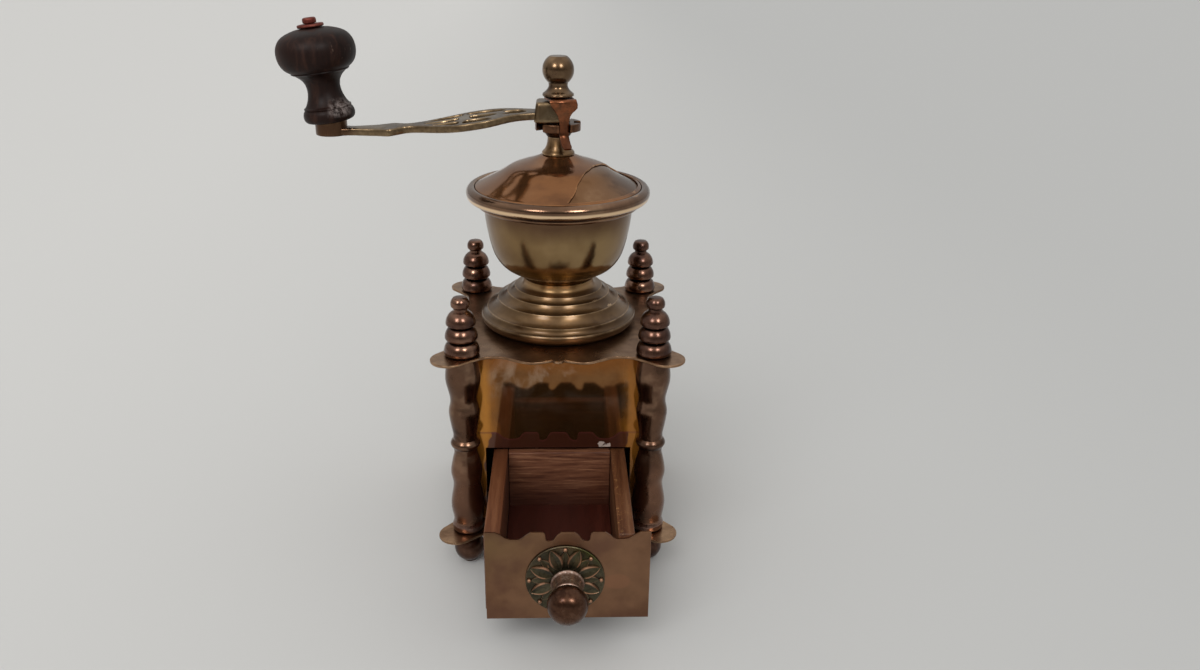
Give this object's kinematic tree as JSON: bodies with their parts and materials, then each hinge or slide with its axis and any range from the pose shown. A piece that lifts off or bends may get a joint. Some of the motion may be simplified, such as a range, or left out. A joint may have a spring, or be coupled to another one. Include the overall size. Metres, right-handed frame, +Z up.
{
  "type": "manual coffee grinder",
  "caption": "Box coffee grinder with round hopper and domed lid, pierced crank with wooden knob, turned columns between scalloped plates, and a wooden drawer pulled out below.",
  "frame": {"origin": "on the floor under the middle of the box that the mill fills, with the drawer pulled out and the crank to the left; the spindle stands at x 33.2 mm and y 37.7 mm", "axes": "+Z up along the spindle, -Y towards the side the drawer comes out of, +X to the right seen from that side"},
  "size_m": [0.1793, 0.1884, 0.2482],
  "materials": {
    "brass": "worn satin, olive tarnish",
    "dark_brass": "polished with a copper-brown tarnish",
    "bronze": "turned and worn, brown tarnish",
    "copper": "satin, reddish",
    "verdigris_brass": "stamped relief with green tarnish in the hollows",
    "iron": "dark, as cast and turned",
    "drawer_wood": "old oiled hardwood",
    "knob_wood": "dark stained, handled, scuffed"
  },
  "bodies": {
    "mill": {"base_plate": "bronze", "top_plate": "bronze", "column_front_left": "bronze", "finial_front_left": "bronze", "foot_front_left": "bronze", "column_front_right": "bronze", "finial_front_right": "bronze", "foot_front_right": "bronze", "column_rear_left": "bronze", "finial_rear_left": "bronze", "foot_rear_left": "bronze", "column_rear_right": "bronze", "finial_rear_right": "bronze", "foot_rear_right": "bronze", "tie_rod_front_left": "iron", "tie_rod_front_right": "iron", "tie_rod_rear_left": "iron", "tie_rod_rear_right": "iron", "outer_burr": "iron", "burr_screw_1": "iron", "burr_screw_2": "iron", "burr_screw_3": "iron", "lower_bearing": "iron", "bearing_screw_left": "iron", "bearing_screw_right": "iron", "case_front": "brass", "case_rear": "brass", "case_left": "brass", "case_right": "brass", "hopper_foot": "brass", "hopper_bowl": "brass", "bearing_sleeve": "brass", "sleeve_nut": "brass", "hopper_rim": "dark_brass", "dome_lid": "dark_brass"},
    "crank": {"drive_spindle": "iron", "inner_burr": "iron", "crank_arm": "brass", "ball_nut": "brass", "locking_clip": "copper", "knob_pin": "copper", "knob_washer": "copper"},
    "nut": {"adjusting_nut": "copper"},
    "handle": {"crank_knob": "knob_wood"},
    "hatch": {"sliding_hatch": "dark_brass"},
    "drawer": {"drawer_side_left": "drawer_wood", "drawer_side_right": "drawer_wood", "drawer_back": "drawer_wood", "drawer_inner_front": "drawer_wood", "drawer_floor": "drawer_wood", "drawer_front": "bronze", "drawer_rosette": "verdigris_brass", "pull_collar": "bronze", "drawer_pull": "copper", "pull_screw": "iron"}
  },
  "joints": [
    {"name": "crank_spin", "type": "hinge", "parent": "mill", "child": "crank", "pos_m": [0.0332, 0.0377, 0.2], "axis": [0, 0, 1], "continuous": true},
    {"name": "knob_spin", "type": "hinge", "parent": "crank", "child": "handle", "pos_m": [-0.0686, 0.0377, 0.2038], "axis": [-0.1305, 0, 0.9914], "continuous": true},
    {"name": "nut_play", "type": "hinge", "parent": "crank", "child": "nut", "pos_m": [0.0332, 0.0377, 0.2], "axis": [0, 0, 1], "range_deg": [-2, 2]},
    {"name": "hatch_turn", "type": "hinge", "parent": "mill", "child": "hatch", "pos_m": [0.0332, 0.0377, 0.18], "axis": [0, 0, 1], "range_deg": [0, 128]},
    {"name": "drawer_slide", "type": "slide", "parent": "mill", "child": "drawer", "axis": [0.049, -0.9988, 0], "range_m": [-0.07139, 0]}
  ]
}
